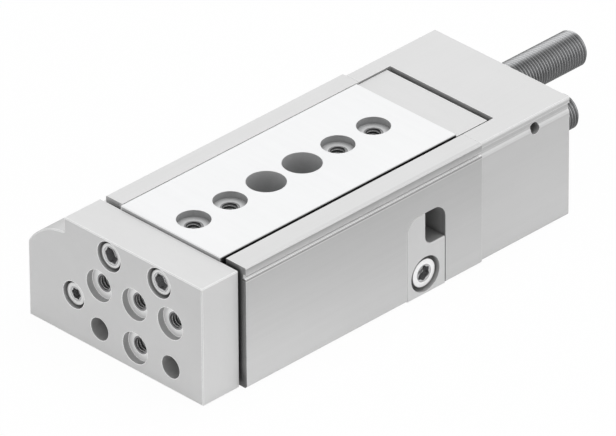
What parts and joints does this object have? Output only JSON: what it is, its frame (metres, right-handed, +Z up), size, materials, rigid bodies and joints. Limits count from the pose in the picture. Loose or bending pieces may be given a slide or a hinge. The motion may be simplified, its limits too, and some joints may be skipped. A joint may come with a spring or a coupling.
{
  "type": "pneumatic mini slide",
  "caption": "Compact air-driven linear slide: roller-guided table in a U-shaped housing, yoke plate driven by a side cylinder, and adjustable threaded end stops.",
  "frame": {"origin": "base plane of the housing, on the guide's centre plane, below the middle of the table's row of holes", "axes": "+X across the guide, away from the cylinder; +Y to the rear, the way the table retracts; +Z up, out of the table's top"},
  "size_m": [0.0503, 0.1322, 0.0278],
  "materials": {
    "body_aluminium": "fine satin anodised",
    "yoke_aluminium": "fine satin anodised",
    "ground_steel": "ground, with faint fine lines",
    "block_aluminium": "fine satin anodised",
    "screw_steel": "bright, lightly turned",
    "thread_steel": "turned thread, lightly oiled",
    "rail_steel": "ground",
    "roller_steel": "polished",
    "cage_plastic": "natural, matt",
    "rod_chrome": "polished",
    "seal_rubber": "matt",
    "buffer_rubber": "matt",
    "magnet_black": "matt",
    "gland_bronze": "turned"
  },
  "bodies": {
    "housing": {"housing": "body_aluminium", "end_cap": "body_aluminium", "cap_screws": "screw_steel", "left_guide_rail": "rail_steel", "right_guide_rail": "rail_steel", "retract_lock_nut": "screw_steel", "advance_stop_block": "block_aluminium", "stop_block_screw": "screw_steel", "rod_gland": "gland_bronze", "rod_seal": "seal_rubber", "gland_retaining_ring": "screw_steel", "front_cushion": "buffer_rubber", "rear_cushion": "buffer_rubber", "gland_o_ring": "seal_rubber", "cap_o_ring": "seal_rubber"},
    "slide": {"slide_table": "ground_steel", "yoke_plate": "yoke_aluminium", "yoke_screws": "screw_steel", "rod_screw": "screw_steel", "stop_carrier": "yoke_aluminium", "carrier_screws": "screw_steel", "advance_lock_nut": "screw_steel", "piston_rod": "rod_chrome", "piston": "block_aluminium", "piston_seal": "seal_rubber", "piston_magnet": "magnet_black"},
    "retract_stop": {"retract_stop_sleeve": "thread_steel", "retract_buffer": "buffer_rubber"},
    "advance_stop": {"advance_stop_sleeve": "thread_steel", "advance_buffer": "buffer_rubber"},
    "left_cage": {"left_roller_cage": "cage_plastic", "left_rollers": "roller_steel"},
    "right_cage": {"right_roller_cage": "cage_plastic", "right_rollers": "roller_steel"}
  },
  "joints": [
    {"name": "slide_travel", "type": "slide", "parent": "housing", "child": "slide", "axis": [0, -1, 0], "range_m": [0, 0.01]},
    {"name": "left_cage_travel", "type": "slide", "parent": "housing", "child": "left_cage", "axis": [0, -1, 0], "range_m": [0, 0.005]},
    {"name": "right_cage_travel", "type": "slide", "parent": "housing", "child": "right_cage", "axis": [0, -1, 0], "range_m": [0, 0.005]},
    {"name": "retract_stop_setting", "type": "slide", "parent": "housing", "child": "retract_stop", "axis": [0, 1, 0], "range_m": [0, 0.005]},
    {"name": "advance_stop_setting", "type": "slide", "parent": "slide", "child": "advance_stop", "axis": [0, 1, 0], "range_m": [0, 0.005]}
  ],
  "couplings": [
    {"joint": "left_cage_travel", "follows": "slide_travel", "ratio": 0.5},
    {"joint": "right_cage_travel", "follows": "slide_travel", "ratio": 0.5}
  ]
}
